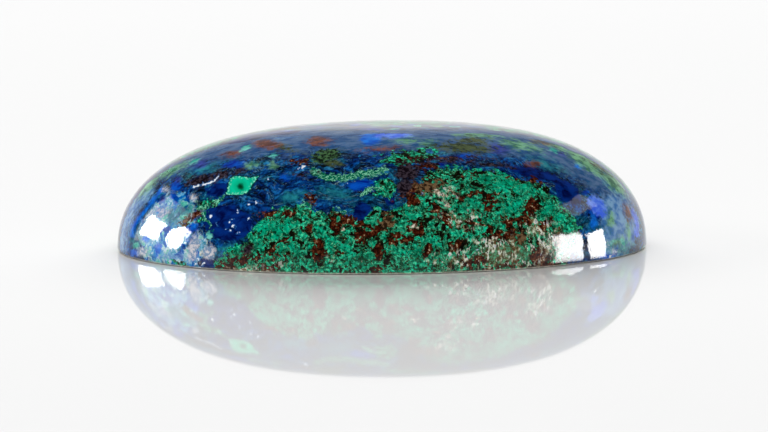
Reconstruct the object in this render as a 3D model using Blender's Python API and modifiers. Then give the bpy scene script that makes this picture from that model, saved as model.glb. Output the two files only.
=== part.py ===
"""Oval cabochon of Eilat stone, a mixed blue and green copper mineral cut and polished in one piece.

Metres, +Z up. The origin is the middle of the flat base, +X runs along the oval's long axis.
The stone is a turned dome that is squeezed to an oval, with its crown a little off centre.
"""

import math

import bpy

# Driving dimensions
LENGTH = 0.040
WIDTH = 0.030
HEIGHT = 0.0093
BASE_EDGE_RADIUS = 0.00025  # the rim is eased so that it does not chip
CROWN_SHIFT = 0.0010  # how far the crown leans towards +X, as on a hand-cut stone

# The dome's section is a superellipse, (r / R) ** PLAN_POWER + (z / H) ** RISE_POWER = 1
PLAN_POWER = 2.89
RISE_POWER = 2.11

# Faceting
STEPS_ROUND = 96
DOME_RINGS = 26
EDGE_RINGS = 3

MERGE_DISTANCE = 0.00001
SMOOTH_ANGLE = math.radians(40)

STONE_COLOUR = (0.02, 0.20, 0.30, 1.0)
STONE_ROUGHNESS = 0.08
STONE_IOR = 1.6


def clear_scene():
    """Removes what the startup file holds."""
    for thing in list(bpy.data.objects):
        bpy.data.objects.remove(thing, do_unlink=True)


def dome_section():
    """Points (r, z) of the dome from the crown down to the widest line, on a round stone."""
    radius = LENGTH / 2
    rise = HEIGHT - BASE_EDGE_RADIUS
    points = []
    for ring in range(DOME_RINGS + 1):
        turn = math.pi / 2 * ring / DOME_RINGS
        r = radius * math.sin(turn) ** (2 / PLAN_POWER)
        z = BASE_EDGE_RADIUS + rise * max(math.cos(turn), 0.0) ** (2 / RISE_POWER)
        points.append((r, z))
    return points


def base_section():
    """Points (r, z) from just below the widest line, round the eased rim, to the middle of the base."""
    centre_r = LENGTH / 2 - BASE_EDGE_RADIUS
    points = []
    for ring in range(1, EDGE_RINGS + 1):
        turn = math.pi / 2 * ring / EDGE_RINGS
        r = centre_r + BASE_EDGE_RADIUS * math.cos(turn)
        z = BASE_EDGE_RADIUS * (1 - math.sin(turn))
        points.append((r, z))
    return points + [(0.0, 0.0)]


def turned_stone():
    """The stone as a round turned piece: its section swept about +Z by a Screw modifier."""
    section = [(r, 0.0, z) for r, z in dome_section() + base_section()]
    edges = [(i, i + 1) for i in range(len(section) - 1)]
    mesh = bpy.data.meshes.new("section")
    mesh.from_pydata(section, edges, [])
    turned = bpy.data.objects.new("turned", mesh)
    bpy.context.scene.collection.objects.link(turned)
    screw = turned.modifiers.new("Screw", "SCREW")
    screw.axis = "Z"
    screw.angle = 2 * math.pi
    screw.steps = STEPS_ROUND
    screw.render_steps = STEPS_ROUND
    screw.use_merge_vertices = True
    screw.merge_threshold = MERGE_DISTANCE
    return turned


def hand_cut(mesh):
    """Squeezes the round stone to an oval and leans its crown towards +X; the base stays where it is."""
    for vertex in mesh.vertices:
        x, y, z = vertex.co
        share_out = math.hypot(x, y) / (LENGTH / 2)
        if z > BASE_EDGE_RADIUS:
            x += CROWN_SHIFT * (1 - share_out)
        vertex.co = (x, y * WIDTH / LENGTH, z)


def stone_material():
    """Plain polished stone in the mean colour of the blue and green minerals."""
    material = bpy.data.materials.new("polished_stone")
    material.use_nodes = True
    shader = material.node_tree.nodes["Principled BSDF"]
    shader.inputs["Base Color"].default_value = STONE_COLOUR
    shader.inputs["Roughness"].default_value = STONE_ROUGHNESS
    shader.inputs["IOR"].default_value = STONE_IOR
    shader.inputs["Metallic"].default_value = 0.0
    material.diffuse_color = STONE_COLOUR
    return material


def cabochon(collection):
    """The finished stone as one mesh object."""
    turned = turned_stone()
    graph = bpy.context.evaluated_depsgraph_get()
    mesh = bpy.data.meshes.new_from_object(turned.evaluated_get(graph))
    bpy.data.objects.remove(turned, do_unlink=True)
    hand_cut(mesh)
    mesh.shade_smooth()
    mesh.set_sharp_from_angle(angle=SMOOTH_ANGLE)
    mesh.materials.append(stone_material())
    stone = bpy.data.objects.new("eilat_stone", mesh)
    collection.objects.link(stone)
    return stone


def main():
    clear_scene()
    collection = bpy.data.collections.new("eilat_stone_cabochon")
    bpy.context.scene.collection.children.link(collection)
    cabochon(collection)


main()
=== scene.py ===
"""The looks of the Eilat stone cabochon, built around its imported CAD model.

Places and sizes are in millimetres, and a length is multiplied by MM where Blender takes it.
The pattern on the face that a viewer sees is placed in that viewer's own plane: so far across
and so far up from the middle of the base. The far side and the base carry scattered patches.
Each mineral's field says how far inside the mineral a point is, and its material reads that.
"""

import math

import bpy
import numpy as np
from mathutils import Matrix, Vector
from mathutils import noise as mathutils_noise


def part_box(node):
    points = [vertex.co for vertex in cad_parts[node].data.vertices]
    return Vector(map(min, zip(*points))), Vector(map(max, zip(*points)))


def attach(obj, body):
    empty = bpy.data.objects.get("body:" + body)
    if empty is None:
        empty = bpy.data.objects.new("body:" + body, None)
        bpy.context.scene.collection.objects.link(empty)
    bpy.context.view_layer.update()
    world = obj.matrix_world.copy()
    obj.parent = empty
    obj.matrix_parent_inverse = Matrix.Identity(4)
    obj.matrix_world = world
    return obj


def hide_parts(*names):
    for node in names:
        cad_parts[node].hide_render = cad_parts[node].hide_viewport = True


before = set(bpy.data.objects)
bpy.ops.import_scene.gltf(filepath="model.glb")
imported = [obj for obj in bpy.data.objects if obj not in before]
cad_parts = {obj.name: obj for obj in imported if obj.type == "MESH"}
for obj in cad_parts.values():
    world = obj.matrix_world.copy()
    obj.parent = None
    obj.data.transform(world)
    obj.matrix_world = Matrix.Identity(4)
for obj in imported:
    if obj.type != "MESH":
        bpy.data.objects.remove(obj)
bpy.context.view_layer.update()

MM = 0.001

# The stone's shape, as its CAD source has it
lowest, highest = (np.array(corner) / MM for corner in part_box("eilat_stone"))
LENGTH, WIDTH, HEIGHT = highest - lowest
BASE_EDGE_RADIUS = 0.25
CROWN_SHIFT = 1.0
PLAN_POWER = 2.89
RISE_POWER = 2.11

# The viewer, as the photograph has them: turned round +Z, above the table and tilted, in degrees,
# so far off, and aiming so far across and up from the middle of the base
VIEW_TURN = 1.82
VIEW_ELEVATION = 7.73
VIEW_ROLL = 0.59
VIEW_DISTANCE = 260.0
VIEW_LENS = 161.0
AIM_ACROSS = 0.17
AIM_UP = 2.30

# The lights: name, azimuth from the viewer's side towards +X, elevation, width and height, in degrees.
# Softboxes and screens only show as mirror images in the polish. Soft lights, which end in their own
# glow, only light what they reach. A glow is a radiance.
LIGHT_DISTANCE = 4000.0
SOFTBOX_GLOW = 22.0
SOFTBOXES = [
    ("softbox_right_front", 73.8, 6.5, 16.5, 15),
    ("softbox_right_rear", 92.5, 5.5, 12, 13),
    ("softbox_left_front", -85.5, 12.6, 15, 20),
    ("softbox_left_rear", -107.5, 13.5, 19, 15),
]
ROUND_LIGHTS = {"softbox_left_front"}
ON_THE_TABLE = {"softbox_right_front", "softbox_right_rear"}  # mirrored by the table too
SCREEN_GLOW = 1.5
SCREENS = [
    ("screen_left", -106, 18, 34, 34),
    ("screen_right", 100, 34, 23, 11),
]
SOFT_LIGHTS = [
    ("soft_top", 0, 88, 90, 90, 0.85),
    ("soft_rear", 180, 30, 80, 24, 6.4),
    ("soft_left", -95, 14, 40, 24, 3.6),
    ("soft_front", 0, 12, 70, 18, 2.7),
]

# The room that the polish mirrors: a backdrop that darkens upwards, and a low wall all round.
# Heights are those of a unit vector, 0 at the table and 1 overhead
BACKDROP_AZIMUTH = 168
BACKDROP_GLOW = 0.97
BACKDROP_EDGE = (0.44, 0.52)  # cosines from its middle, outside and inside its soft edge
BACKDROP_FADE = [
    (0.06, 0.93),
    (0.14, 0.88),
    (0.19, 0.74),
    (0.25, 0.40),
    (0.34, 0.17),
    (0.50, 0.08),
    (0.88, 0.02),
]
DARK_ROOM_GLOW = 0.02
LOW_WALL_TOP = (0.04, 0.12)  # between which heights it fades out
LOW_WALL_SIDES = (0.75, 0.95)  # how far towards +X or -X it grows brighter
LOW_WALL_GLOW = (0.2, 0.9)  # in front and behind, and at the sides
OPEN_VIEW_GLOW = 0.97  # what the camera sees past the table

TABLE_REACH = 1500.0
TABLE_GAP = 0.02  # keeps the table top clear of the stone's base

# The fine mesh: rings from the crown to the rim, round the eased edge and on the base
DOME_RINGS = 136
EDGE_RINGS = 5
BASE_RINGS = 34
STEPS_PER_RING = 8  # each ring has so many more places than the one inside it
PROFILE_SAMPLES = 4000
BASE_BAND = 0.5  # how wide the band is between the fine edge and the coarse base

# The waves in the polish: length and height, and how far above the rim they fade out
WAVES = [(3.0, 0.03), (1.3, 0.016)]
WAVES_FADE = 0.6

# How squarely the dome faces the viewer, as a cosine, where the scattered patches take over
HIDDEN = (0.10, 0.22)
GRAZED = (0.16, 0.34)
SCATTER_SEED = 11

# The underside of the eased edge is painted near-white, as painted light from the table under the stone:
# the heights, in its radii, and the cosines from straight down between which that fades in
EDGE_LIGHT_HEIGHT = (0.5, 0.2)
EDGE_LIGHT_FACING = (0.99, 0.9)

STONE_IOR = 1.5


def direction(azimuth, elevation):
    """The unit vector towards an azimuth, from the viewer's side towards +X, and an elevation."""
    turn = math.radians(azimuth)
    rise = math.radians(elevation)
    level = math.cos(rise)
    return math.sin(turn) * level, -math.cos(turn) * level, math.sin(rise)


def viewer_axes():
    """The viewer's right, up and back directions, as unit vectors in the object's frame."""
    back = np.array(direction(VIEW_TURN, VIEW_ELEVATION))
    level = np.array(direction(VIEW_TURN + 90, 0))
    upright = np.cross(back, level)
    roll = math.radians(VIEW_ROLL)
    right = level * math.cos(roll) - upright * math.sin(roll)
    up = upright * math.cos(roll) + level * math.sin(roll)
    return right, up, back


RIGHT, UP, BACK = viewer_axes()


def smooth_step(values, start, end):
    """0 at the start, 1 at the end, which may lie below it, and a smooth rise in between."""
    share = np.clip((values - start) / (end - start), 0.0, 1.0)
    return share * share * (3 - 2 * share)


# ---------------- the stone's mesh


def dome_profile(rings):
    """(share of the way out, height) of each ring from the crown to the rim, evenly along the surface."""
    turn = np.linspace(0.0, math.pi / 2, PROFILE_SAMPLES)
    rise = HEIGHT - BASE_EDGE_RADIUS
    out = np.sin(turn) ** (2 / PLAN_POWER)
    height = BASE_EDGE_RADIUS + rise * np.maximum(np.cos(turn), 0) ** (2 / RISE_POWER)
    steps = np.hypot(np.diff(out * LENGTH / 2), np.diff(height))
    along = np.concatenate(([0.0], np.cumsum(steps)))
    wanted = np.linspace(0.0, along[-1], rings + 1)
    return np.interp(wanted, along, out), np.interp(wanted, along, height)


def ring_turns(ring):
    """Directions round a ring, which has STEPS_PER_RING more places than the one inside it."""
    count = max(STEPS_PER_RING * ring, 1)
    return np.arange(count) * 2 * math.pi / count


def oval(out, angles, height):
    """Points of one ring of the oval stone, with the crown's lean."""
    lean = CROWN_SHIFT * (1 - out) if height > BASE_EDGE_RADIUS else 0.0
    x = out * LENGTH / 2 * np.cos(angles) + lean
    y = out * WIDTH / 2 * np.sin(angles)
    return np.column_stack((x, y, np.full(len(angles), height)))


def add_ring(points, ring_points):
    """Adds a ring to the points, and returns its places among them."""
    first = len(points)
    points.extend(ring_points)
    return list(range(first, len(points)))


def join_rings(inner, outer, faces, downwards):
    """Fills the band between a ring and the next one out, sector by sector, each with one place more."""
    per_sector_in = len(inner) // STEPS_PER_RING
    per_sector_out = len(outer) // STEPS_PER_RING
    for sector in range(STEPS_PER_RING):
        for step in range(per_sector_out):
            a = outer[(sector * per_sector_out + step) % len(outer)]
            b = outer[(sector * per_sector_out + step + 1) % len(outer)]
            c = inner[(sector * per_sector_in + step) % len(inner)] if per_sector_in else inner[0]
            made = [[a, b, c]]
            if step < per_sector_in:
                d = inner[(sector * per_sector_in + step + 1) % len(inner)]
                made.append([b, d, c])
            faces.extend(face[::-1] if downwards else face for face in made)


def join_equal(upper, lower, faces):
    """Fills the band between two rings with the same number of places."""
    count = len(upper)
    for step in range(count):
        after = (step + 1) % count
        faces.append([upper[step], lower[step], lower[after], upper[after]])


def add_dome(points, faces):
    """The rings from the crown down to the rim, which it returns."""
    out, height = dome_profile(DOME_RINGS)
    before = add_ring(points, oval(out[0], ring_turns(0), height[0]))
    for ring in range(1, DOME_RINGS + 1):
        now = add_ring(points, oval(out[ring], ring_turns(ring), height[ring]))
        join_rings(before, now, faces, False)
        before = now
    return before


def add_edge(points, faces, before):
    """The rings round the eased edge, from the rim in to the flat base. It returns the last."""
    for ring in range(1, EDGE_RINGS + 1):
        turn = math.pi / 2 * ring / EDGE_RINGS
        share_out = 1 - BASE_EDGE_RADIUS * (1 - math.cos(turn)) / (LENGTH / 2)
        height = BASE_EDGE_RADIUS * (1 - math.sin(turn))
        now = add_ring(points, oval(share_out, ring_turns(DOME_RINGS), height))
        join_equal(before, now, faces)
        before = now
    return before


def add_base(points, faces, edge):
    """The flat base: a band from its fine edge to coarser rings, and those in to its middle."""
    share_out = 1 - (BASE_EDGE_RADIUS + BASE_BAND) / (LENGTH / 2)
    before = add_ring(points, oval(share_out, ring_turns(BASE_RINGS), 0.0))
    fine_per_coarse = len(edge) // len(before)
    for step in range(len(before)):
        first = step * fine_per_coarse
        fine = [edge[place % len(edge)] for place in range(first, first + fine_per_coarse + 1)]
        faces.append([before[(step + 1) % len(before)], *reversed(fine), before[step]])
    for ring in range(BASE_RINGS - 1, -1, -1):
        now = add_ring(points, oval(share_out * ring / BASE_RINGS, ring_turns(ring), 0.0))
        join_rings(now, before, faces, True)
        before = now


def polish_waves(points):
    """How deep a hand polish has sunk each point: soft waves that fade out at the rim."""
    depth = np.zeros(len(points))
    for index, point in enumerate(points):
        if point[2] > BASE_EDGE_RADIUS:
            for length, height in WAVES:
                depth[index] += height * (1 + mathutils_noise.noise(Vector(point) / length)) / 2
    return depth * smooth_step(points[:, 2], BASE_EDGE_RADIUS, BASE_EDGE_RADIUS + WAVES_FADE)


def make_stone():
    """The fine stone as an object that stands for the CAD node."""
    points = []
    faces = []
    rim = add_dome(points, faces)
    edge = add_edge(points, faces, rim)
    add_base(points, faces, edge)
    points = np.array(points)
    distance = np.maximum(np.linalg.norm(points, axis=1), 1.0)
    points = points * (1 - polish_waves(points) / distance)[:, None]
    mesh = bpy.data.meshes.new("polished_stone")
    mesh.from_pydata((points * MM).tolist(), [], faces)
    mesh.shade_smooth()
    stone = bpy.data.objects.new("polished_stone", mesh)
    bpy.context.scene.collection.objects.link(stone)
    return stone


# ---------------- where the minerals lie

FAR = 3.0  # the least that a field falls to away from its mineral

# Large areas: the places that their outlines run through, across and up, as the viewer sees them
ZONES = {
    "green": [
        (-12.6, -1.2), (-11.6, -0.2), (-10.5, 0.3), (-9.8, 1.2), (-9.2, 2.1), (-8.6, 2.6), (-7.8, 2.9),
        (-6.6, 3.1), (-6.1, 3.4), (-5.4, 2.9), (-4.2, 2.4), (-3.5, 2.8), (-2.5, 2.2), (-1.4, 2.0),
        (-0.5, 3.2), (0.1, 2.7), (1.2, 2.9), (1.8, 3.4), (2.4, 4.4), (3.5, 5.6), (5.0, 6.1), (6.5, 5.9),
        (8.0, 5.8), (9.3, 5.6), (10.3, 5.2), (11.8, 4.9), (12.7, 4.3), (13.3, 3.5), (14.0, 2.9),
        (14.7, 2.3), (15.1, 1.5), (14.8, 0.8), (14.3, -0.4), (14.0, -1.4), (13.8, -3.5), (-12.9, -3.5),
    ],
    "slate": [
        (-17.0, 5.0), (-13.5, 6.3), (-9.0, 7.0), (-4.0, 7.3), (1.0, 7.2), (4.0, 7.1), (8.0, 7.0),
        (11.0, 6.8), (14.0, 5.6), (17.0, 3.5), (20.0, 3.0), (18.0, 10.0), (-18.0, 10.0),
    ],
    "eye": [
        (-11.8, 3.95), (-11.45, 5.2), (-10.95, 5.35), (-10.0, 5.2), (-9.3, 5.35), (-9.75, 4.7),
        (-10.1, 4.1), (-10.75, 3.9),
    ],
}  # fmt: skip
PUPIL_PLACE = (-10.7, 4.53)

# Patches: across, up, half the width, half the height and the tilt in degrees
PATCHES = {
    "green": [
        (0.3, 4.4, 0.8, 0.7, 0),
        (2.1, 6.75, 2.0, 0.62, 5),
        (-13.2, 3.2, 0.9, 0.3, 15),
        (-15.4, -1.3, 0.5, 0.2, -8),
        (-13.8, 1.9, 0.26, 0.22, 0),
    ],
    "sage": [
        (-16.0, 5.7, 1.1, 0.24, 28),
        (-9.8, 6.16, 0.42, 0.2, 0),
        (-8.2, 6.1, 0.3, 0.2, 0),
        (1.8, 8.0, 0.5, 0.14, 0),
        (3.4, 7.8, 0.5, 0.18, 10),
        (7.2, 8.5, 1.3, 0.3, -3),
        (10.4, 7.7, 1.3, 0.28, -12),
        (13.4, 7.6, 1.3, 0.3, -20),
        (15.5, 6.4, 1.9, 0.5, -33),
        (17.5, 4.9, 1.3, 0.5, -48),
        (18.7, 1.2, 0.12, 0.5, 10),
        (17.3, 2.1, 0.3, 0.6, 10),
        (17.9, 0.4, 0.5, 0.3, 20),
        (12.0, 8.0, 0.5, 0.2, -15),
        (-17.7, 4.9, 0.5, 1.5, -40),
    ],
    "navy": [
        (-11.7, 1.8, 1.9, 1.35, -8),
        (-1.4, 2.4, 0.75, 0.9, 0),
        (0.6, 3.6, 0.4, 0.75, 15),
        (14.1, 4.1, 1.1, 0.7, -38),
        (11.6, 5.5, 2.0, 0.42, -14),
        (-15.2, 4.4, 0.25, 0.22, 0),
        (-13.3, -1.2, 0.6, 0.45, 0),
        (-10.7, 6.0, 0.5, 0.2, 0),
        (-12.4, 4.3, 0.9, 0.5, 15),
    ],
    "royal": [
        (-1.6, 4.6, 0.95, 0.42, 8),
        (-15.6, 4.55, 0.4, 0.36, 0),
        (-15.8, 3.85, 0.28, 0.26, 0),
        (-14.3, 1.4, 0.5, 0.36, 20),
        (4.4, 6.2, 0.5, 0.2, 0),
        (6.2, 6.8, 0.7, 0.25, 4),
        (16.2, 2.5, 0.3, 0.55, 40),
        (-11.2, 6.25, 1.0, 0.24, 5),
        (-7.3, 5.2, 0.35, 0.25, 0),
        (15.5, 4.1, 0.3, 0.2, 0),
        (-17.1, 2.7, 0.3, 0.14, 50),
    ],
    "azure": [
        (-0.9, 8.2, 0.75, 0.5, 0),
        (-16.9, -0.2, 0.26, 0.6, 0),
        (-17.8, 0.6, 0.36, 0.25, 0),
        (-18.7, -0.5, 0.3, 0.3, -20),
        (-14.3, 1.5, 0.3, 0.24, 20),
        (16.05, 1.8, 0.3, 0.45, 0),
        (17.1, -0.75, 0.5, 0.22, 14),
        (14.9, 6.1, 0.3, 0.25, 0),
        (19.0, 0.7, 0.14, 0.3, 0),
        (17.5, 4.4, 0.8, 0.15, -40),
    ],
    "violet": [
        (1.1, 8.5, 1.3, 0.32, 3),
        (16.4, 2.95, 1.1, 0.5, -50),
    ],
    "sky": [
        (-16.2, 1.4, 1.9, 2.9, -30),
        (-15.2, -0.9, 1.6, 0.9, -6),
        (17.8, 0.4, 0.8, 1.2, 16),
        (17.6, -0.45, 0.9, 0.5, 14),
        (-12.4, 7.4, 1.2, 0.28, 20),
        (-17.5, 0.05, 0.36, 0.36, 0),
        (-13.9, -0.1, 0.7, 1.2, 0),
    ],
    "teal": [
        (-14.9, 2.7, 0.65, 0.6, 0),
        (-15.9, 2.2, 0.4, 0.6, 20),
        (-3.5, 4.1, 1.0, 0.35, -18),
        (-6.8, 3.8, 0.8, 0.3, 10),
        (-18.6, 0.3, 0.4, 0.4, 0),
        (18.3, -0.2, 0.6, 0.4, 0),
        (-11.3, -0.3, 0.9, 0.4, 0),
        (12.4, 6.3, 1.0, 0.3, -20),
        (-13.6, 5.8, 1.0, 0.25, 15),
    ],
    "mint": [
        (-13.08, 0.82, 0.26, 0.28, 0),
        (-14.9, 3.2, 0.3, 0.2, 0),
        (-15.0, 2.2, 0.26, 0.12, 20),
        (-18.6, 0.1, 0.2, 0.24, 0),
        (-15.4, -1.3, 0.5, 0.16, -8),
        (-10.3, 7.4, 0.3, 0.14, 20),
        (-14.2, 6.4, 0.3, 0.14, 30),
        (-8.25, 6.9, 0.3, 0.08, 5),
        (18.1, 0.5, 0.32, 0.1, -20),
        (13.0, 7.3, 0.3, 0.14, -20),
        (-17.5, 5.2, 0.26, 0.9, -42),
    ],
    "olive": [
        (6.3, 7.5, 2.2, 0.4, -2),
        (6.9, 8.0, 1.0, 0.3, 0),
        (-3.9, 6.4, 0.8, 0.3, 0),
        (16.4, 6.1, 0.9, 0.25, -38),
        (-16.2, 4.57, 0.18, 0.16, 0),
        (-7.5, 7.45, 0.8, 0.2, -15),
    ],
    "moss": [(-4.2, 6.85, 1.1, 0.5, 12)],
    "clay": [
        (-8.7, 7.75, 0.9, 0.36, -8),
        (-4.8, 7.95, 0.8, 0.36, 5),
        (0.15, 7.4, 0.9, 0.14, 4),
        (-11.4, 7.0, 0.6, 0.2, 10),
        (-14.3, 2.3, 0.7, 0.22, 32),
        (11.5, 6.25, 0.45, 0.22, 0),
        (12.2, 8.0, 0.8, 0.2, -12),
        (18.65, 2.5, 0.26, 0.6, 20),
    ],
    # Flecks: pale grains, and painted reflection of the softboxes on rough malachite, in upright streaks
    "flecks": [
        (9.2, -0.6, 3.4, 1.6, 0),
        (11.6, 1.3, 1.2, 1.2, -40),
        (5.4, -1.0, 2.2, 0.9, 0),
        (4.7, 4.0, 1.1, 0.7, 0),
        (6.0, 2.0, 1.8, 0.8, 0),
        (-13.7, -0.2, 0.9, 1.0, 0),
        (12.8, 0.4, 1.0, 1.4, 0),
        (-7.4, -1.3, 0.6, 0.3, 0),
        (-3.8, -0.9, 0.4, 0.25, 0),
        (-9.6, -1.7, 1.4, 0.3, 0),
    ],
    "brown": [
        (-8.5, 2.4, 0.55, 0.18, 10),
        (-6.8, 2.5, 0.8, 0.16, 5),
        (-5.4, 1.4, 0.2, 0.2, 0),
        (-3.4, 1.5, 0.35, 0.8, 30),
        (-1.6, 0.7, 0.4, 0.5, 0),
        (-3.9, -0.4, 0.5, 0.16, 0),
        (-4.7, 0.2, 0.3, 0.35, 0),
        (-7.8, 0.0, 0.85, 0.12, 38),
        (-7.6, -0.8, 0.6, 0.4, 15),
        (-8.8, -1.6, 0.6, 0.28, 0),
        (-10.6, -1.0, 0.8, 0.4, 20),
        (-11.6, -1.5, 0.7, 0.3, 0),
        (-0.3, -1.8, 0.45, 0.22, 0),
        (-0.6, 1.2, 0.5, 0.3, 20),
        (-2.4, 2.0, 0.9, 0.22, -20),
        (0.9, 0.4, 0.3, 0.45, 0),
        (6.5, 5.3, 0.35, 0.2, 0),
        (9.9, 5.0, 0.35, 0.16, 0),
        (11.4, 5.0, 0.5, 0.14, -10),
        (8.4, 3.7, 0.45, 0.35, 0),
        (8.1, 2.9, 0.22, 0.4, 0),
        (11.3, 3.0, 0.5, 0.55, 0),
        (9.2, 0.9, 1.2, 0.38, 5),
        (11.0, 2.1, 0.3, 0.55, 10),
        (12.3, 1.4, 0.5, 0.35, 0),
        (12.0, -0.9, 0.75, 0.9, 0),
        (10.1, -0.9, 0.18, 0.5, 0),
        (3.5, -0.3, 0.4, 0.4, 0),
        (5.6, 0.1, 0.45, 0.3, 0),
        (6.5, -1.3, 0.3, 0.35, 40),
        (8.4, -1.8, 0.35, 0.25, 0),
        (9.8, -1.6, 0.5, 0.3, 0),
        (7.4, -1.0, 0.4, 0.3, 0),
        (13.0, -1.6, 0.4, 0.5, 0),
        (9.8, 1.9, 0.6, 0.3, 0),
        (12.9, 2.3, 0.3, 0.4, 0),
        (2.6, 1.4, 0.6, 0.5, 0),
        (2.6, 4.4, 1.4, 0.4, 20),
        (2.4, 3.5, 0.4, 0.5, 30),
        (5.2, 1.9, 0.8, 0.2, -30),
        (6.6, 3.9, 0.5, 0.2, 20),
        (4.9, 6.6, 1.4, 0.14, 0),
        (3.3, 6.1, 0.9, 0.25, 0),
        (-5.4, 3.6, 0.4, 0.3, -30),
        (-6.2, 6.4, 0.5, 0.14, 8),
        (7.2, 1.6, 0.9, 0.3, 0),
        (4.2, 2.6, 0.3, 0.5, 20),
        (-4.9, -0.6, 0.4, 0.5, 0),
        (-0.3, -0.4, 0.3, 0.5, 0),
        (1.6, 0.6, 0.5, 0.3, 0),
    ],
    "dark": [
        (-13.6, 5.0, 1.2, 0.45, 14),
        (-12.1, 5.4, 0.6, 0.35, 20),
        (1.9, 5.6, 1.1, 0.55, 0),
        (4.6, 6.5, 2.2, 0.18, 4),
        (1.7, 4.5, 0.5, 0.6, 0),
        (-10.2, -0.2, 0.7, 0.35, 30),
        (-5.9, 5.5, 0.9, 0.16, 5),
        (-11.0, 5.6, 0.5, 0.2, 15),
        (8.6, 6.2, 1.0, 0.14, -4),
    ],
    "ochre": [
        (3.4, 4.5, 1.2, 0.45, 12),
        (0.45, 1.85, 0.5, 0.6, 0),
        (13.3, 0.6, 0.4, 0.7, 0),
        (10.4, 0.6, 0.6, 0.4, 0),
        (-14.9, 1.7, 0.3, 0.2, 30),
    ],
    "cream": [
        (5.0, 4.4, 0.22, 0.16, 30),
        (4.2, 4.2, 0.2, 0.12, 0),
        (4.4, 3.9, 0.26, 0.1, -25),
        (5.2, 3.9, 0.26, 0.12, 20),
        (5.0, 3.1, 0.14, 0.14, 0),
        (2.45, 1.52, 0.2, 0.18, 0),
        (-1.65, -1.15, 0.16, 0.12, 50),
        (8.4, 0.5, 0.24, 0.08, 20),
        (7.2, -0.3, 0.2, 0.08, 30),
        (-3.0, 1.3, 0.12, 0.12, 0),
        (-10.5, -1.8, 0.7, 0.1, -5),
    ],
    "milk": [
        (-18.1, -0.43, 0.4, 0.32, 0),
        (-13.1, -0.45, 0.5, 0.5, 0),
        (-14.25, -0.1, 0.4, 1.0, -12),
        (-14.26, 3.73, 0.26, 0.22, 0),
        (-16.37, 4.32, 0.18, 0.16, 0),
        (-17.4, 2.48, 0.5, 0.16, 45),
        (-16.6, 2.5, 0.5, 0.2, 40),
        (17.6, -0.4, 0.2, 0.14, 10),
    ],
    "lilac": [
        (-16.45, 3.1, 0.36, 0.18, 0),
        (-15.6, -0.8, 0.8, 0.25, 0),
        (-7.7, 8.5, 1.2, 0.3, 5),
        (17.9, 1.9, 1.3, 2.2, 16),
    ],
    "indigo": [
        (8.8, 7.4, 0.8, 0.4, -5),
        (-13.7, 6.25, 0.55, 0.26, 20),
        (-15.4, 5.1, 0.25, 0.18, 0),
        (13.8, 7.0, 0.5, 0.2, -20),
        (-16.6, 3.6, 0.24, 0.22, 0),
    ],
}

# Patches where the malachite is whole, with few pores
WHOLE = [
    (-8.4, 1.3, 2.2, 1.2, 25),
    (-7.2, -0.1, 1.3, 0.7, 20),
    (-11.4, -0.7, 1.2, 0.5, 20),
    (-3.3, 0.0, 0.9, 0.6, 0),
    (-1.8, -1.1, 1.3, 0.6, 0),
    (2.0, 2.5, 1.2, 0.6, 0),
    (3.4, -0.4, 1.5, 0.9, 0),
    (9.0, 4.9, 2.8, 0.7, -12),
    (9.3, 3.1, 1.7, 0.7, 0),
    (6.4, 3.1, 0.9, 0.5, 20),
    (12.9, 2.4, 0.7, 1.1, 20),
    (0.7, 0.3, 0.6, 0.5, 0),
]

# Veins: half the width and then the places that they run through
VEINS = {
    "pale": [
        (0.26, (-5.2, 5.7), (-4.4, 5.3), (-3.0, 5.15), (-2.0, 5.4), (-1.0, 5.5), (0.2, 5.8)),
        (0.09, (-14.0, 2.9), (-13.4, 3.0), (-12.5, 3.4), (-11.9, 3.8)),
        (0.07, (-13.5, 2.6), (-13.3, 2.0), (-12.9, 1.5), (-12.8, 1.0)),
        (0.12, (-6.0, 3.4), (-5.3, 2.9), (-4.7, 2.5)),
        (0.12, (-3.6, 2.8), (-2.8, 2.6)),
        (0.14, (-1.4, 3.9), (-0.9, 4.4), (-0.2, 4.4)),
        (0.1, (-16.8, 5.5), (-15.6, 5.9)),
    ],
    # The glinting fissure is painted white, as a painted highlight
    "glinting_crack": [(0.07, (-14.3, 4.5), (-13.8, 4.6), (-13.1, 4.8), (-12.7, 4.9), (-12.4, 5.3))],
    "azure": [(0.15, (-16.7, 4.3), (-17.4, 3.3), (-18.3, 2.3), (-18.8, 1.5), (-18.9, 0.9))],
    "lilac": [(0.34, (-19.9, -0.3), (-19.6, 1.4), (-18.7, 3.0), (-17.6, 4.3))],
    "violet": [(0.16, (19.3, 0.9), (19.3, 1.9), (18.9, 2.7))],
    "mint": [(0.07, (17.35, 0.2), (17.6, 0.52), (18.05, 0.5), (18.35, 0.2), (18.35, -0.1))],
    "brown": [
        (0.12, (-13.9, 2.55), (-14.6, 2.1), (-15.4, 1.5)),
        (0.08, (-9.4, -0.9), (-7.9, -0.1), (-6.9, 0.7)),
    ],
}

# Painted highlights, where bare crystal faces catch the light, as white specks: (across, up, radius)
GLINTS = [
    (-12.97, 2.30, 0.10),
    (-10.89, 2.68, 0.10),
    (-11.30, 2.07, 0.10),
    (-11.49, 1.81, 0.08),
    (-11.26, 1.58, 0.10),
    (-11.11, 1.36, 0.10),
    (-11.79, 1.28, 0.08),
    (-11.49, 1.20, 0.10),
    (-10.92, 1.05, 0.08),
    (-12.51, 1.62, 0.08),
    (-10.05, 2.11, 0.07),
    (-9.52, 3.32, 0.10),
    (-10.05, 3.17, 0.10),
    (-8.54, 5.10, 0.07),
    (-5.97, 6.02, 0.15),
    (-6.30, 5.90, 0.07),
    (-14.10, -1.30, 0.08),
    (-13.80, -1.60, 0.07),
    (-13.50, -1.30, 0.10),
    (-13.30, -1.70, 0.07),
    (-13.90, -1.00, 0.06),
    (-2.90, 4.70, 0.08),
    (-2.60, 4.75, 0.06),
    (7.30, -0.28, 0.10),
    (17.65, -0.40, 0.10),
    (17.30, -0.75, 0.07),
    (16.10, 1.05, 0.08),
    (3.05, 4.10, 0.07),
]


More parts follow.
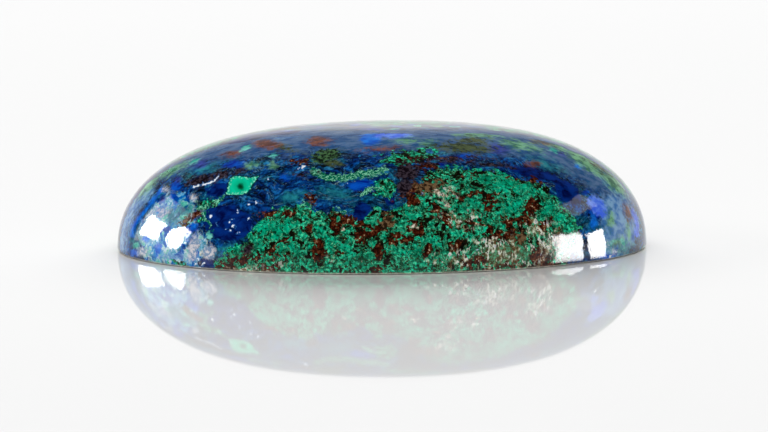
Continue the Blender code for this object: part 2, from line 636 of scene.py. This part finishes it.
def patch_field(across, up, patches):
    """How far inside the nearest patch each place is; it is below 0 outside."""
    nearest = np.full(len(across), -FAR)
    for middle_across, middle_up, half_width, half_height, tilt in patches:
        turn = math.radians(tilt)
        right = across - middle_across
        above = up - middle_up
        along = (right * math.cos(turn) + above * math.sin(turn)) / half_width
        aside = (above * math.cos(turn) - right * math.sin(turn)) / half_height
        inside = (1 - np.hypot(along, aside)) * min(half_width, half_height)
        nearest = np.maximum(nearest, inside)
    return nearest


def line_distance(across, up, start, end):
    """Distance of each place from a straight line between two places."""
    start = np.array(start)
    run = np.array(end) - start
    offset = np.column_stack((across, up)) - start
    share = np.clip(offset @ run / (run @ run), 0.0, 1.0)
    return np.linalg.norm(offset - share[:, None] * run, axis=1)


def vein_field(across, up, veins):
    """How far inside the nearest vein each place is; it is below 0 outside."""
    nearest = np.full(len(across), -FAR)
    for half_width, *places in veins:
        for start, end in zip(places, places[1:]):
            nearest = np.maximum(nearest, half_width - line_distance(across, up, start, end))
    return nearest


def zone_field(across, up, outline):
    """How far inside a closed outline each place is; it is below 0 outside."""
    nearest = np.full(len(across), FAR)
    inside = np.zeros(len(across), bool)
    for start, end in zip(outline, outline[1:] + outline[:1]):
        nearest = np.minimum(nearest, line_distance(across, up, start, end))
        crosses = (start[1] > up) != (end[1] > up)
        rise = end[1] - start[1]
        if rise:
            inside ^= crosses & (across < start[0] + (up - start[1]) * (end[0] - start[0]) / rise)
    return np.where(inside, nearest, -nearest)


def as_seen(points):
    """(across, up) of points in the viewer's plane."""
    nearness = VIEW_DISTANCE / (VIEW_DISTANCE - points @ BACK)
    return points @ RIGHT * nearness, points @ UP * nearness


def hidden_share(points, normals, least, most):
    """1 where the dome faces the viewer less than the least share, and 0 above the most."""
    to_viewer = BACK * VIEW_DISTANCE - points
    facing = np.sum(to_viewer * normals, axis=1) / np.linalg.norm(to_viewer, axis=1)
    return 1 - smooth_step(facing, least, most)


def scattered_field(points, middles, draw, count, smallest, largest, flatness):
    """Patches of one mineral scattered through the stone, as squashed balls round some of the middles."""
    nearest = np.full(len(points), -FAR)
    for middle in middles[draw.choice(len(middles), count, replace=False)]:
        radius = draw.uniform(smallest, largest)
        turn = draw.uniform(0, math.pi)
        offset = (points - middle) / radius
        along = offset[:, 0] * math.cos(turn) + offset[:, 1] * math.sin(turn)
        aside = (offset[:, 1] * math.cos(turn) - offset[:, 0] * math.sin(turn)) / flatness
        inside = (1 - np.sqrt(along**2 + aside**2 + offset[:, 2] ** 2)) * radius * flatness
        nearest = np.maximum(nearest, inside)
    return nearest


# How each mineral is scattered over the far side: how many, smallest and largest radius, flatness
SCATTERED = {
    "slate": (40, 1.2, 3.6, 0.6),
    "sage": (24, 0.4, 1.2, 0.5),
    "violet": (16, 0.3, 0.8, 0.5),
    "indigo": (20, 0.3, 0.9, 0.5),
    "mint": (24, 0.2, 0.6, 0.6),
    "navy": (30, 0.8, 2.2, 0.7),
    "royal": (60, 0.3, 1.0, 0.5),
    "azure": (20, 0.3, 0.9, 0.5),
    "sky": (40, 0.4, 1.4, 0.5),
    "teal": (60, 0.4, 1.2, 0.5),
    "olive": (30, 0.4, 1.2, 0.5),
    "moss": (20, 0.4, 1.2, 0.5),
    "clay": (20, 0.3, 0.8, 0.4),
    "green": (26, 1.6, 5.0, 0.6),
    "flecks": (40, 0.5, 1.6, 0.6),
    "ochre": (30, 0.4, 1.2, 0.6),
    "brown": (150, 0.2, 0.9, 0.5),
    "dark": (60, 0.3, 1.1, 0.5),
    "pale": (80, 0.2, 0.9, 0.25),
    "cream": (60, 0.15, 0.4, 0.7),
    "milk": (12, 0.2, 0.5, 0.8),
    "lilac": (12, 0.4, 1.0, 0.6),
    "eye": (8, 0.4, 0.9, 0.7),
    # Scattered glinting fissures are painted white too, as painted highlights
    "glinting_crack": (12, 0.2, 0.6, 0.15),
}

# Those whose scattered patches start where the viewer only grazes the dome, to break up its crown
OVER_THE_CROWN = {"sage", "indigo", "mint", "navy", "royal", "sky", "teal", "olive", "clay"}


def seen_field(mineral, across, up):
    """How far inside one mineral each place is, from all that is laid out for the viewer's side."""
    field = patch_field(across, up, PATCHES.get(mineral, []))
    field = np.maximum(field, vein_field(across, up, VEINS.get(mineral, [])))
    if mineral in ZONES:
        field = np.maximum(field, zone_field(across, up, ZONES[mineral]))
    return field


def read_vectors(source, name):
    """One vector per point of a mesh, as rows."""
    values = np.empty(len(source) * 3)
    source.foreach_get(name, values)
    return values.reshape(-1, 3)


def write_field(mesh, name, values):
    """Keeps one number per point in the mesh, under the name that the material reads."""
    attribute = mesh.attributes.new(name, "FLOAT", "POINT")
    attribute.data.foreach_set("value", values.astype(np.float32))


def painted_edge_light(points, normals):
    """1 where light is painted: on the eased edge that turns in towards the table; 0 on the dome and flat
    base.
    """
    low = smooth_step(points[:, 2] / BASE_EDGE_RADIUS, *EDGE_LIGHT_HEIGHT)
    return low * smooth_step(-normals[:, 2], *EDGE_LIGHT_FACING)


def lay_minerals(mesh):
    """Writes each mineral's field to the mesh, as an attribute in millimetres."""
    points = read_vectors(mesh.vertices, "co") / MM
    normals = read_vectors(mesh.vertex_normals, "vector")
    hidden = hidden_share(points, normals, *HIDDEN)
    grazed = hidden_share(points, normals, *GRAZED)
    across, up = as_seen(points)
    draw = np.random.default_rng(SCATTER_SEED)
    far_side = points[hidden > 0.5]
    for mineral, scatter in SCATTERED.items():
        scattered = scattered_field(points, far_side, draw, *scatter)
        reach = grazed if mineral in OVER_THE_CROWN else hidden
        laid_out = seen_field(mineral, across, up) - hidden * FAR
        write_field(mesh, mineral, np.maximum(laid_out, scattered - (1 - reach) * FAR))
    write_field(mesh, "whole", patch_field(across, up, WHOLE) - hidden * FAR)
    write_field(mesh, "painted_edge_light", painted_edge_light(points, normals))
    places = np.column_stack((across, up, hidden * FAR)).astype(np.float32)
    seen = mesh.attributes.new("seen", "FLOAT_VECTOR", "POINT")
    seen.data.foreach_set("vector", places.ravel())


# ---------------- the stone's material


def colour(red, green, blue):
    """A colour given from 0 to 255, as a screen shows it, in the linear values that Blender takes."""
    linear = []
    for value in (red, green, blue):
        value /= 255
        linear.append(value / 12.92 if value <= 0.04045 else ((value + 0.055) / 1.055) ** 2.4)
    return (*linear, 1.0)


class Nodes:
    """Adds nodes to a tree. Most methods add one node and return its output socket."""

    def __init__(self, tree):
        self.tree = tree

    def add(self, kind, inputs, **settings):
        made = self.tree.nodes.new(kind)
        for name, value in settings.items():
            setattr(made, name, value)
        for key, value in inputs.items():
            self.set(made.inputs[key], value)
        return made

    def set(self, socket, value):
        """Links a socket, or gives an input its number, vector or colour."""
        if isinstance(value, bpy.types.NodeSocket):
            self.tree.links.new(value, socket)
        else:
            socket.default_value = value

    def math(self, operation, first, second=0.0):
        return self.add("ShaderNodeMath", {0: first, 1: second}, operation=operation).outputs[0]

    def plus(self, first, second):
        return self.math("ADD", first, second)

    def minus(self, first, second):
        return self.math("SUBTRACT", first, second)

    def times(self, first, second):
        return self.math("MULTIPLY", first, second)

    def vectors(self, operation, inputs):
        """Does vector arithmetic and returns all its outputs."""
        return self.add("ShaderNodeVectorMath", inputs, operation=operation).outputs

    def scaled(self, vector, share):
        return self.vectors("SCALE", {0: vector, "Scale": share})["Vector"]

    def mix(self, share, first, second):
        inputs = {0: share, 6: first, 7: second}
        return self.add("ShaderNodeMix", inputs, data_type="RGBA").outputs[2]

    def rise(self, value, start, end, low=0.0, high=1.0):
        """Goes smoothly from low to high as the value goes from start to end, in either direction."""
        inputs = {"Value": value, "From Min": start, "From Max": end, "To Min": low, "To Max": high}
        return self.add("ShaderNodeMapRange", inputs, interpolation_type="SMOOTHSTEP").outputs[0]

    def ramp(self, value, stops):
        made = self.add("ShaderNodeValToRGB", {0: value})
        elements = made.color_ramp.elements
        elements[1].position, elements[1].color = stops[-1]
        elements[0].position, elements[0].color = stops[0]
        for place, shade in stops[1:-1]:
            elements.new(place).color = shade
        return made.outputs["Color"]

    def shades(self, value, stops):
        """A ramp through colours that are given from 0 to 255."""
        return self.ramp(value, [(place, colour(*shade)) for place, shade in stops])

    def grain(self, where, per_mm, detail, roughness=0.5, distortion=0.0):
        """Noise round a half, with so many waves to a unit of the place."""
        inputs = {
            "Vector": where,
            "Scale": per_mm,
            "Detail": detail,
            "Roughness": roughness,
            "Distortion": distortion,
        }
        return self.add("ShaderNodeTexNoise", inputs).outputs["Fac"]

    def off_middle(self, noise):
        return self.minus(noise, 0.5)

    def placed(self, where, stretch, shift=(0, 0, 0)):
        inputs = {"Vector": where, "Location": shift, "Scale": stretch}
        return self.add("ShaderNodeMapping", inputs).outputs[0]

    def bend(self, where, per_mm, reach):
        """The place, shifted by smooth noise, so that a pattern drawn there winds."""
        inputs = {"Vector": where, "Scale": per_mm, "Detail": 2.0}
        noise = self.add("ShaderNodeTexNoise", inputs).outputs["Color"]
        offset = self.vectors("SUBTRACT", {0: noise, 1: (0.5, 0.5, 0.5)})["Vector"]
        return self.vectors("ADD", {0: where, 1: self.scaled(offset, reach)})["Vector"]

    def hairlines(self, where, per_mm, width, detail, distortion):
        """1 on thin winding lines and 0 elsewhere."""
        noise = self.grain(where, per_mm, detail, 0.6, distortion)
        return self.rise(self.math("ABSOLUTE", self.off_middle(noise)), 0.0, width, 1.0, 0.0)

    def field(self, mineral):
        return self.add("ShaderNodeAttribute", {}, attribute_name=mineral).outputs["Fac"]


class StoneNodes(Nodes):
    """The stone's own nodes: the places and noises that its minerals share, and how one is laid."""

    def __init__(self, tree):
        super().__init__(tree)
        metres = self.add("ShaderNodeTexCoord", {}).outputs["Object"]
        self.place = self.placed(metres, (1 / MM, 1 / MM, 1 / MM))
        self.seen = self.add("ShaderNodeAttribute", {}, attribute_name="seen").outputs["Vector"]
        self.ragged = self.off_middle(self.grain(self.place, 1.5, 6, 0.68))
        self.frayed = self.off_middle(self.grain(self.place, 3.6, 2, 0.6))
        self.fine = self.grain(self.placed(self.place, (1, 1, 1), (9, 0, 0)), 3.8, 2, 0.65)
        self.grainy = self.rise(self.fine, 0.42, 0.60)
        clouds = self.grain(self.placed(self.place, (0.6, 1.0, 1.2)), 1.6, 6, 0.58, 0.4)
        self.cloudy = self.rise(clouds, 0.36, 0.64)
        self.whole = self.plus(self.field("whole"), self.times(self.ragged, 1.6))
        self.loose = self.rise(self.whole, -0.3, 0.4, 1.2, 0.5)
        self.green = self.share("green", 1.8, 0.6, 0.04)

    def wandering(self, mineral, wander, fray):
        """A mineral's field, whose edge wanders and frays by so many millimetres."""
        edge = self.plus(self.field(mineral), self.times(self.ragged, wander))
        return self.plus(edge, self.times(self.frayed, fray))

    def share(self, mineral, wander, fray, softness):
        """1 inside a mineral and 0 outside it, with an edge that is so many millimetres soft."""
        return self.rise(self.wandering(mineral, wander, fray), -softness, softness)

    def lay(self, tone, minerals, texture):
        """The tone with plain minerals over it, one after the other."""
        for mineral, (darker, lighter, wander, fray, softness) in minerals.items():
            shades = self.mix(texture, colour(*darker), colour(*lighter))
            tone = self.mix(self.share(mineral, wander, fray, softness), tone, shades)
        return tone

    def calmed(self, noise):
        """A noise, made flatter where the malachite is whole."""
        return self.plus(self.times(self.off_middle(noise), self.loose), 0.5)

    def sparkling(self, tone):
        """A tone, lighter and darker from crystal to crystal."""
        crystals = self.calmed(self.grain(self.place, 4.8, 1, 0.6))
        return self.scaled(tone, self.rise(crystals, 0.36, 0.64, 0.60, 1.40))


def azurite(nodes):
    """Streaky blue, from near black to a greenish blue, with pale threads and dusky wisps."""
    winding = nodes.bend(nodes.place, 0.3, 4.0)
    flow = nodes.placed(winding, (0.4, 0.8, 1.1))
    streaks = nodes.grain(flow, 1.0, 5, 0.68, 0.5)
    cobalt = nodes.shades(
        streaks,
        [
            (0.34, (3, 8, 26)),
            (0.43, (4, 28, 76)),
            (0.50, (5, 50, 116)),
            (0.57, (8, 76, 150)),
            (0.66, (30, 112, 176)),
            (0.76, (90, 156, 196)),
        ],
    )
    greenish = nodes.shades(
        streaks,
        [
            (0.34, (4, 16, 28)),
            (0.43, (5, 44, 76)),
            (0.50, (8, 76, 112)),
            (0.57, (16, 104, 134)),
            (0.66, (60, 142, 150)),
            (0.76, (120, 180, 176)),
        ],
    )
    hue = nodes.grain(nodes.placed(nodes.place, (0.35, 0.5, 0.7), (3, 0, 0)), 1.0, 4)
    blue = nodes.mix(nodes.rise(hue, 0.47, 0.62), cobalt, greenish)
    wisps = nodes.grain(nodes.placed(winding, (0.5, 0.9, 1.6), (7, 0, 0)), 1.0, 8, 0.72, 0.8)
    blue = nodes.mix(nodes.rise(wisps, 0.54, 0.61, 0, 0.85), blue, colour(14, 24, 32))
    threads = nodes.times(nodes.hairlines(flow, 1.5, 0.014, 5, 0.8), nodes.rise(wisps, 0.45, 0.55))
    blue = nodes.mix(nodes.times(threads, 0.7), blue, colour(120, 160, 170))
    specks = nodes.grain(nodes.placed(winding, (0.4, 1.0, 1.2)), 3.6, 2, 0.6)
    blue = nodes.mix(nodes.rise(specks, 0.47, 0.36, 0, 0.75), blue, colour(3, 18, 44))
    return nodes.mix(nodes.rise(specks, 0.56, 0.72, 0, 0.7), blue, colour(40, 130, 180))


def chrysocolla(nodes):
    """Soft grains in mixed blues, greens and white, each grain in its own shade."""
    inputs = {"Vector": nodes.bend(nodes.place, 1.8, 0.9), "Scale": 1.8, "Smoothness": 0.3}
    grains = nodes.add("ShaderNodeTexVoronoi", inputs, feature="SMOOTH_F1").outputs["Color"]
    pick = nodes.add("ShaderNodeSeparateColor", {0: grains}).outputs[0]
    mottle = nodes.rise(nodes.grain(nodes.place, 3.0, 2, 0.6), 0.3, 0.7, -0.14, 0.14)
    return nodes.shades(
        nodes.plus(pick, mottle),
        [
            (0.10, (0, 74, 170)),
            (0.25, (6, 116, 204)),
            (0.38, (50, 156, 210)),
            (0.50, (150, 204, 230)),
            (0.60, (20, 150, 180)),
            (0.70, (130, 190, 222)),
            (0.80, (220, 232, 242)),
            (0.92, (110, 210, 190)),
        ],
    )


def malachite_pores(nodes, rust):
    """A noise that is high in the pores, of which there are fewer where the malachite is whole."""
    hollow = nodes.rise(rust, -0.28, 0.04, 0, 0.14)
    hollow = nodes.minus(hollow, nodes.rise(nodes.whole, -0.4, 0.5, -0.022, 0.070))
    spread = nodes.times(nodes.minus(nodes.grain(nodes.place, 0.8, 3), 0.53), 0.46)
    pores = nodes.grain(nodes.bend(nodes.place, 1.4, 0.5), 2.05, 2, 0.7, 0.3)
    return nodes.plus(pores, nodes.plus(hollow, spread))


def malachite(nodes, pores):
    """Emerald crystals and pale fibres, with a dark net between them and darker pores."""
    green = nodes.shades(
        nodes.grain(nodes.place, 1.5, 6, 0.66),
        [
            (0.34, (4, 92, 62)),
            (0.44, (3, 140, 102)),
            (0.54, (3, 176, 132)),
            (0.66, (8, 204, 160)),
        ],
    )
    crystals = nodes.calmed(nodes.grain(nodes.place, 4.2, 1))
    green = nodes.mix(nodes.rise(crystals, 0.54, 0.66, 0, 0.7), green, colour(70, 220, 170))
    green = nodes.mix(nodes.rise(crystals, 0.46, 0.36, 0, 0.8), green, colour(4, 64, 40))
    fibres = nodes.hairlines(nodes.place, 2.6, 0.022, 1, 1.6)
    fibres = nodes.times(fibres, nodes.rise(pores, 0.38, 0.50, 0, 0.9))
    green = nodes.mix(fibres, green, colour(140, 214, 160))
    net = nodes.off_middle(nodes.grain(nodes.bend(nodes.place, 2.0, 0.6), 2.15, 1, 0.5, 0.8))
    net = nodes.math("ABSOLUTE", net)
    green = nodes.mix(nodes.rise(net, 0.042, 0.018, 0, 0.9), green, colour(10, 32, 16))
    green = nodes.mix(nodes.rise(pores, 0.535, 0.560, 0, 0.7), green, colour(60, 110, 70))
    green = nodes.mix(nodes.rise(pores, 0.560, 0.580), green, colour(26, 40, 18))
    return nodes.mix(nodes.rise(pores, 0.590, 0.615), green, colour(15, 18, 9))


def iron_rust(nodes):
    """Dark brown to rusty, with a few pale grains."""
    return nodes.shades(
        nodes.fine,
        [
            (0.38, (30, 10, 5)),
            (0.48, (62, 20, 9)),
            (0.58, (92, 40, 20)),
            (0.65, (120, 76, 46)),
            (0.72, (226, 206, 170)),
        ],
    )


def fleck_share(nodes):
    """1 on the pale flecks, which run in upright streaks: pale grains, and painted reflection."""
    streaks = nodes.grain(nodes.placed(nodes.place, (1.5, 1.5, 0.6)), 2.6, 4, 0.65, 0.3)
    crowding = nodes.rise(nodes.grain(nodes.place, 1.2, 3), 0.35, 0.65, -0.07, 0.06)
    flecks = nodes.rise(nodes.plus(streaks, crowding), 0.53, 0.57)
    return nodes.times(nodes.rise(nodes.wandering("flecks", 0.8, 0.6), -0.2, 0.5), flecks)


def fleck_shades(nodes):
    """Tan, cream and white, with a little grey blue: grain colours, with painted reflection in the white.
    """
    return nodes.shades(
        nodes.grain(nodes.place, 2.4, 3, 0.6),
        [
            (0.38, (96, 66, 44)),
            (0.46, (150, 136, 96)),
            (0.54, (210, 222, 200)),
            (0.60, (250, 248, 232)),
            (0.68, (190, 192, 210)),
        ],
    )


def eye(nodes, tone):
    """A banded malachite eye: bright green round a dark pupil, with a pale speckled rim."""
    distance = nodes.vectors("DISTANCE", {0: nodes.seen, 1: (*PUPIL_PLACE, 0.0)})["Value"]
    bands = nodes.shades(
        nodes.plus(distance, nodes.times(nodes.grain(nodes.seen, 3.0, 3), 0.3)),
        [
            (0.22, (2, 60, 36)),
            (0.34, (4, 110, 76)),
            (0.46, (8, 190, 142)),
            (0.80, (10, 214, 168)),
            (1.00, (8, 192, 152)),
        ],
    )
    inside = nodes.field("eye")
    speckle = nodes.grain(nodes.seen, 6.0, 3, 0.6)
    rim = nodes.times(nodes.rise(inside, 0.24, 0.08), nodes.rise(speckle, 0.50, 0.60))
    bands = nodes.mix(rim, bands, colour(150, 244, 214))
    edge = nodes.plus(inside, nodes.times(nodes.off_middle(speckle), 0.35))
    dusk = nodes.mix(nodes.rise(edge, -0.16, -0.02), tone, colour(10, 50, 60))
    return nodes.mix(nodes.rise(edge, -0.01, 0.03), dusk, bands)


def glints(nodes, tone):
    """Painted highlights: white glints of bare crystal with a light blue fringe, and a fissure painted
    bright.
    """
    seen = nodes.bend(nodes.seen, 5.0, 0.35)
    inside = nodes.field("glinting_crack")
    for across, up, radius in GLINTS:
        distance = nodes.vectors("DISTANCE", {0: seen, 1: (across, up, 0.0)})["Value"]
        inside = nodes.math("MAXIMUM", inside, nodes.minus(radius, distance))
    inside = nodes.plus(inside, nodes.times(nodes.frayed, 0.5))
    # Painted highlight: a light blue fringe and a white glint, painted into the colour
    tone = nodes.mix(nodes.rise(inside, -0.07, 0.02, 0, 0.6), tone, colour(60, 140, 220))
    return nodes.mix(nodes.rise(inside, 0.00, 0.05), tone, colour(248, 252, 255))


def relief(nodes):
    """The polish: almost flat on azurite, and finely pitted and undercut on malachite."""
    ripple = nodes.times(nodes.grain(nodes.place, 1.6, 3, 0.5), 0.010)
    pitting = nodes.grain(nodes.placed(nodes.place, (1.4, 1.0, 0.7)), 3.4, 4, 0.6)
    pitting = nodes.times(nodes.times(pitting, nodes.green), 0.006)
    height = nodes.minus(nodes.plus(ripple, pitting), nodes.times(nodes.green, 0.003))
    return nodes.add("ShaderNodeBump", {"Height": height, "Distance": MM}).outputs[0]


# Plain minerals in the order that they are laid, under and over the malachite: the darker and the
# lighter colour, how far the edge wanders and frays, and how soft it is, in millimetres
UNDER_GREEN = {
    "slate": ((34, 82, 136), (90, 120, 158), 2.2, 0.8, 0.6),
    "lilac": ((64, 122, 190), (134, 178, 216), 1.0, 0.8, 0.3),
    "teal": ((6, 66, 108), (40, 150, 160), 1.4, 0.9, 0.4),
    "navy": ((2, 12, 68), (5, 48, 132), 1.0, 0.3, 0.06),
    "royal": ((2, 34, 140), (8, 90, 206), 0.8, 0.5, 0.12),
    "azure": ((0, 84, 200), (26, 130, 238), 0.6, 0.4, 0.15),
    # Violet: a real periwinkle, lightened beyond its own tone as painted light, for light the right flank
    # lacks
    "violet": ((66, 110, 248), (112, 156, 255), 0.6, 0.4, 0.12),
    "indigo": ((24, 34, 104), (66, 84, 184), 0.8, 0.4, 0.2),
    "sage": ((60, 116, 88), (132, 198, 150), 1.0, 0.7, 0.25),
    "olive": ((38, 50, 32), (86, 100, 66), 1.2, 0.8, 0.2),
    "clay": ((84, 50, 44), (136, 84, 70), 0.9, 0.6, 0.2),
    "mint": ((30, 170, 150), (130, 220, 206), 0.6, 0.5, 0.1),
}
OVER_GREEN = {
    "moss": ((8, 24, 16), (72, 112, 70), 1.0, 0.9, 0.1),
    "ochre": ((44, 30, 18), (126, 98, 68), 1.6, 1.6, 0.08),
    "dark": ((20, 12, 20), (64, 54, 64), 1.2, 0.5, 0.14),
    "milk": ((128, 156, 190), (226, 222, 226), 0.5, 0.5, 0.2),
    "cream": ((130, 110, 84), (240, 230, 210), 0.5, 0.8, 0.06),
}


def stone_colour(nodes):
    """The minerals over one another: azurite and what lies in it, malachite, and what lies over that."""
    tone = nodes.sparkling(azurite(nodes))
    tone = nodes.mix(nodes.share("sky", 1.4, 0.9, 0.3), tone, chrysocolla(nodes))
    tone = nodes.lay(tone, UNDER_GREEN, nodes.cloudy)
    rust = nodes.wandering("brown", 1.2, 1.0)
    pores = malachite_pores(nodes, rust)
    tone = nodes.mix(nodes.green, tone, nodes.sparkling(malachite(nodes, pores)))
    # A tan tint over the malachite where the flecks lie
    fleck_tint = nodes.times(nodes.rise(nodes.field("flecks"), 0.2, 1.3, 0, 0.45), nodes.green)
    tone = nodes.mix(fleck_tint, tone, colour(128, 118, 84))
    rusty = nodes.times(nodes.rise(rust, -0.11, 0.04), nodes.rise(pores, 0.52, 0.56))
    tone = nodes.mix(rusty, tone, iron_rust(nodes))
    # The flecks: pale grains, and painted reflection in upright streaks
    tone = nodes.mix(fleck_share(nodes), tone, fleck_shades(nodes))
    silk = nodes.hairlines(nodes.place, 2.6, 0.05, 3, 1.0)
    silk = nodes.mix(silk, colour(6, 110, 80), colour(150, 240, 200))
    tone = nodes.mix(nodes.share("pale", 0.5, 0.8, 0.06), tone, silk)
    tone = nodes.lay(tone, OVER_GREEN, nodes.grainy)
    tone = glints(nodes, eye(nodes, tone))
    # Painted light: the eased edge's underside is painted near-white, for light the table throws under
    # the stone
    painted_edge_shades = nodes.mix(nodes.grainy, colour(214, 206, 188), colour(250, 246, 234))
    return nodes.mix(nodes.times(nodes.field("painted_edge_light"), 0.9), tone, painted_edge_shades)


def mineral_material():
    """Everything that the stone's surface shows."""
    material = bpy.data.materials.new("polished_eilat_stone")
    material.use_nodes = True
    nodes = StoneNodes(material.node_tree)
    shader = material.node_tree.nodes["Principled BSDF"]
    nodes.set(shader.inputs["Base Color"], stone_colour(nodes))
    nodes.set(shader.inputs["Roughness"], nodes.rise(nodes.green, 0.0, 1.0, 0.04, 0.07))
    nodes.set(shader.inputs["Normal"], relief(nodes))
    shader.inputs["IOR"].default_value = STONE_IOR
    return material


# ---------------- the stage


def make_floor():
    """A glossy white table top, large enough to fill every view."""
    reach = TABLE_REACH * MM
    mesh = bpy.data.meshes.new("table_top")
    corners = [(-reach, -reach, 0), (reach, -reach, 0), (reach, reach, 0), (-reach, reach, 0)]
    mesh.from_pydata(corners, [], [(0, 1, 2, 3)])
    table = bpy.data.objects.new("table_top", mesh)
    bpy.context.scene.collection.objects.link(table)
    table.location.z = -TABLE_GAP * MM
    material = bpy.data.materials.new("white_acrylic")
    material.use_nodes = True
    shader = material.node_tree.nodes["Principled BSDF"]
    shader.inputs["Base Color"].default_value = (0.93, 0.93, 0.93, 1.0)
    shader.inputs["Roughness"].default_value = 0.03
    shader.inputs["IOR"].default_value = 1.49
    mesh.materials.append(material)


def make_world():
    """A white backdrop behind the stone, brightest at the table, a low wall and otherwise a dark room."""
    world = bpy.data.worlds.new("studio")
    bpy.context.scene.world = world
    world.use_nodes = True
    nodes = Nodes(world.node_tree)
    ray = nodes.add("ShaderNodeTexCoord", {}).outputs["Generated"]
    parts = nodes.add("ShaderNodeSeparateXYZ", {0: ray}).outputs
    towards = nodes.vectors("DOT_PRODUCT", {0: ray, 1: direction(BACKDROP_AZIMUTH, 0)})["Value"]
    fade = nodes.ramp(parts["Z"], [(height, (glow,) * 4) for height, glow in BACKDROP_FADE])
    backdrop = nodes.times(nodes.rise(towards, *BACKDROP_EDGE, DARK_ROOM_GLOW, BACKDROP_GLOW), fade)
    wall_glow = nodes.rise(nodes.math("ABSOLUTE", parts["X"]), *LOW_WALL_SIDES, *LOW_WALL_GLOW)
    low_wall = nodes.rise(parts["Z"], *LOW_WALL_TOP, wall_glow, 0.0)
    room = nodes.math("MAXIMUM", backdrop, low_wall)
    to_camera = nodes.add("ShaderNodeLightPath", {}).outputs["Is Camera Ray"]
    background = nodes.tree.nodes["Background"]
    background.inputs["Color"].default_value = (1.0, 1.0, 1.0, 1.0)
    nodes.set(background.inputs["Strength"], nodes.rise(to_camera, 0.0, 1.0, room, OPEN_VIEW_GLOW))


def make_light(name, azimuth, elevation, wide, high, glow, mirrored, receivers=None):
    """A light that faces the stone. Its width and height are angles, and glow is its radiance.

    It only shows in polish when it is mirrored, and otherwise it only lights. No receivers means all.
    """
    across = 2 * LIGHT_DISTANCE * MM * math.tan(math.radians(wide / 2))
    tall = 2 * LIGHT_DISTANCE * MM * math.tan(math.radians(high / 2))
    light = bpy.data.lights.new(name, "AREA")
    light.shape = "ELLIPSE" if name in ROUND_LIGHTS else "RECTANGLE"
    light.size = across
    light.size_y = tall
    light.energy = glow * math.pi * across * tall
    lamp = bpy.data.objects.new(name, light)
    bpy.context.scene.collection.objects.link(lamp)
    towards = Vector(direction(azimuth, elevation))
    lamp.location = towards * LIGHT_DISTANCE * MM
    lamp.rotation_euler = towards.to_track_quat("Z", "Y").to_euler()
    lamp.visible_camera = False
    lamp.visible_glossy = mirrored
    lamp.visible_diffuse = not mirrored
    lamp.light_linking.receiver_collection = receivers


def make_lights(stone):
    """Softboxes in pairs, parted by a dark bar, with dim screens by them, and the soft lights."""
    mirror = bpy.data.collections.new("mirror_of_the_lights")
    mirror.objects.link(stone)
    for softbox in SOFTBOXES:
        receivers = None if softbox[0] in ON_THE_TABLE else mirror
        make_light(*softbox, SOFTBOX_GLOW, True, receivers)
    for screen in SCREENS:
        make_light(*screen, SCREEN_GLOW, True, mirror)
    for soft_light in SOFT_LIGHTS:
        make_light(*soft_light, False)


def make_camera():
    """The camera at the viewer's place."""
    data = bpy.data.cameras.new("camera")
    data.sensor_width = 36.0
    data.lens = VIEW_LENS
    data.clip_start = 10 * MM
    data.clip_end = 10000 * MM
    camera = bpy.data.objects.new("camera", data)
    bpy.context.scene.collection.objects.link(camera)
    place = BACK * VIEW_DISTANCE
    aim = RIGHT * AIM_ACROSS + UP * AIM_UP
    back = (place - aim) / np.linalg.norm(place - aim)
    right = np.cross(UP, back)
    right /= np.linalg.norm(right)
    up = np.cross(back, right)
    turned = Matrix(np.column_stack((right, up, back)).tolist()).to_4x4()
    camera.matrix_world = Matrix.Translation(Vector(place) * MM) @ turned
    bpy.context.scene.camera = camera


stone = make_stone()
lay_minerals(stone.data)
stone.data.materials.append(mineral_material())
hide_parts("eilat_stone")
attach(stone, "root")
make_floor()
make_world()
make_lights(stone)
make_camera()
bpy.context.scene.view_settings.view_transform = "Standard"
